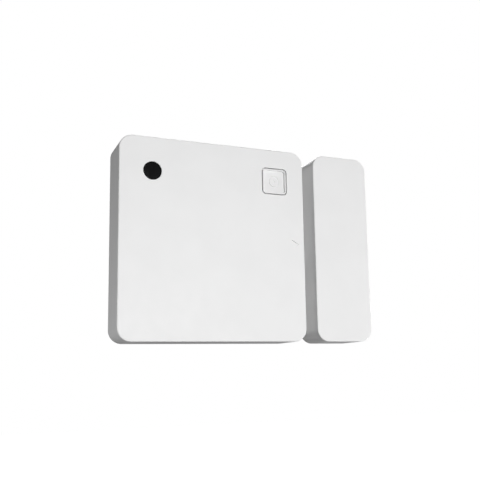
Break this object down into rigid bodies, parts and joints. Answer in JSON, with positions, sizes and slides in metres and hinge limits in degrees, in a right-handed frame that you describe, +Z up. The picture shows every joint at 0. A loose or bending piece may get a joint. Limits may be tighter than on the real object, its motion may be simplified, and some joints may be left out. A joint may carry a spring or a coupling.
{
  "type": "door contact sensor",
  "caption": "Square white battery door sensor with a round dark window and a sunk square button, beside a narrow white magnet unit of the same height and depth.",
  "frame": {"origin": "centre of the face of the sensor's adhesive pad that sticks to the door frame", "axes": "+X along the wall from the sensor to the magnet unit, +Y into the wall, +Z up"},
  "size_m": [0.049, 0.0084, 0.036],
  "materials": {
    "shell_plastic": "fine satin moulded plastic",
    "cover_plastic": "matt moulded plastic",
    "button_plastic": "fine satin moulded plastic",
    "window_plastic": "polished tinted plastic",
    "black_rubber": "matt",
    "foam_tape": "closed-cell foam with acrylic glue",
    "solder_mask": "semi-gloss solder mask",
    "gold_plate": "thin gold plate",
    "mask_copper": "copper under solder mask",
    "chip_black": "moulded epoxy",
    "sensor_clear": "clear moulded epoxy",
    "led_resin": "cast resin",
    "ferrite_grey": "pressed ferrite",
    "tantalum_case": "moulded epoxy",
    "ceramic_tan": "fired ceramic",
    "tinned_metal": "tin plate",
    "switch_ivory": "moulded nylon",
    "holder_plastic": "moulded nylon",
    "spring_steel": "nickel-plated spring strip",
    "cell_steel": "rolled stainless steel",
    "cell_seal": "polypropylene",
    "cathode_mix": "pressed manganese dioxide",
    "separator_felt": "non-woven felt",
    "lithium_foil": "rolled lithium foil",
    "magnet_nickel": "nickel plate"
  },
  "bodies": {
    "frame_side": {"back_cover": "cover_plastic", "sensor_adhesive_pad": "foam_tape"},
    "sensor_body": {"front_shell": "shell_plastic", "light_window": "window_plastic", "light_shroud": "black_rubber", "light_sensor": "sensor_clear", "status_led": "led_resin", "main_board": "solder_mask", "printed_antenna": "mask_copper", "radio_chip": "chip_black", "radio_crystal": "tinned_metal", "clock_crystal": "tinned_metal", "motion_sensor": "chip_black", "magnetic_switch": "chip_black", "magnetic_switch_leads": "tinned_metal", "power_inductor": "ferrite_grey", "buffer_capacitor": "tantalum_case", "small_capacitors": "ceramic_tan", "small_resistors": "chip_black", "test_pads": "gold_plate", "switch_base": "switch_ivory", "switch_cover": "tinned_metal", "switch_terminals": "tinned_metal", "battery_holder": "holder_plastic", "positive_contact": "spring_steel", "negative_contact": "spring_steel", "coin_cell_can": "cell_steel", "coin_cell_gasket": "cell_seal", "coin_cell_cap": "cell_steel", "cell_cathode": "cathode_mix", "cell_separator": "separator_felt", "cell_anode": "lithium_foil"},
    "button": {"button_cap": "button_plastic"},
    "switch_press": {"switch_plunger": "black_rubber", "switch_dome": "spring_steel"},
    "magnet_unit": {"magnet_shell": "shell_plastic", "magnet_base": "cover_plastic", "bar_magnet": "magnet_nickel", "magnet_adhesive_pad": "foam_tape"}
  },
  "joints": [
    {"name": "sensor_pull_off", "type": "slide", "parent": "frame_side", "child": "sensor_body", "axis": [0, -1, 0], "range_m": [0, 0.02]},
    {"name": "button_travel", "type": "slide", "parent": "sensor_body", "child": "button", "axis": [0, 1, 0], "range_m": [0, 0.0002], "stiffness_N_per_m": 5000},
    {"name": "switch_travel", "type": "slide", "parent": "sensor_body", "child": "switch_press", "axis": [0, 1, 0], "range_m": [0, 0.0002]},
    {"name": "door_opening", "type": "slide", "parent": "frame_side", "child": "magnet_unit", "axis": [1, 0, 0], "range_m": [0, 0.02]}
  ],
  "couplings": [
    {"joint": "switch_travel", "follows": "button_travel", "ratio": 1}
  ]
}
